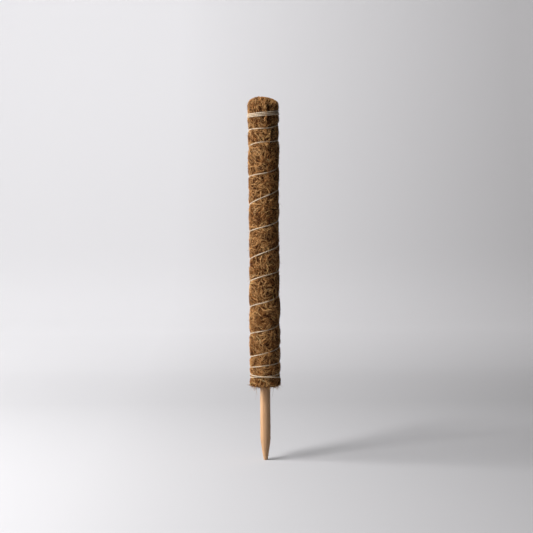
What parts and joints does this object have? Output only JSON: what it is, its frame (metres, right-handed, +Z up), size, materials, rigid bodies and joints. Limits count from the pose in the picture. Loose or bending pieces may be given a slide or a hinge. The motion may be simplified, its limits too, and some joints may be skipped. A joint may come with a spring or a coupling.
{
  "type": "moss pole",
  "caption": "Plant support pole: coir mat rolled round a turned wooden stake, with a folded coir crown and twine wound down it; the bare pointed end pushes into soil.",
  "frame": {"origin": "Centre of the stake's blunt tip, where the pole touches what it stands on.", "axes": "+Z runs up the stake to the crown. -Y is the front of the picture, and the seam of the coir mat lies 30 degrees round from it towards +X."},
  "size_m": [0.0442, 0.0497, 0.4997],
  "materials": {
    "stake_wood": "matte",
    "mat_coir": "matte",
    "crown_coir": "matte",
    "twine": "matte"
  },
  "bodies": {
    "root": {"stake": "stake_wood", "coir_mat": "mat_coir", "crown_cap": "crown_coir", "binding_twine": "twine", "top_knot": "twine", "bottom_knot": "twine"}
  },
  "joints": []
}
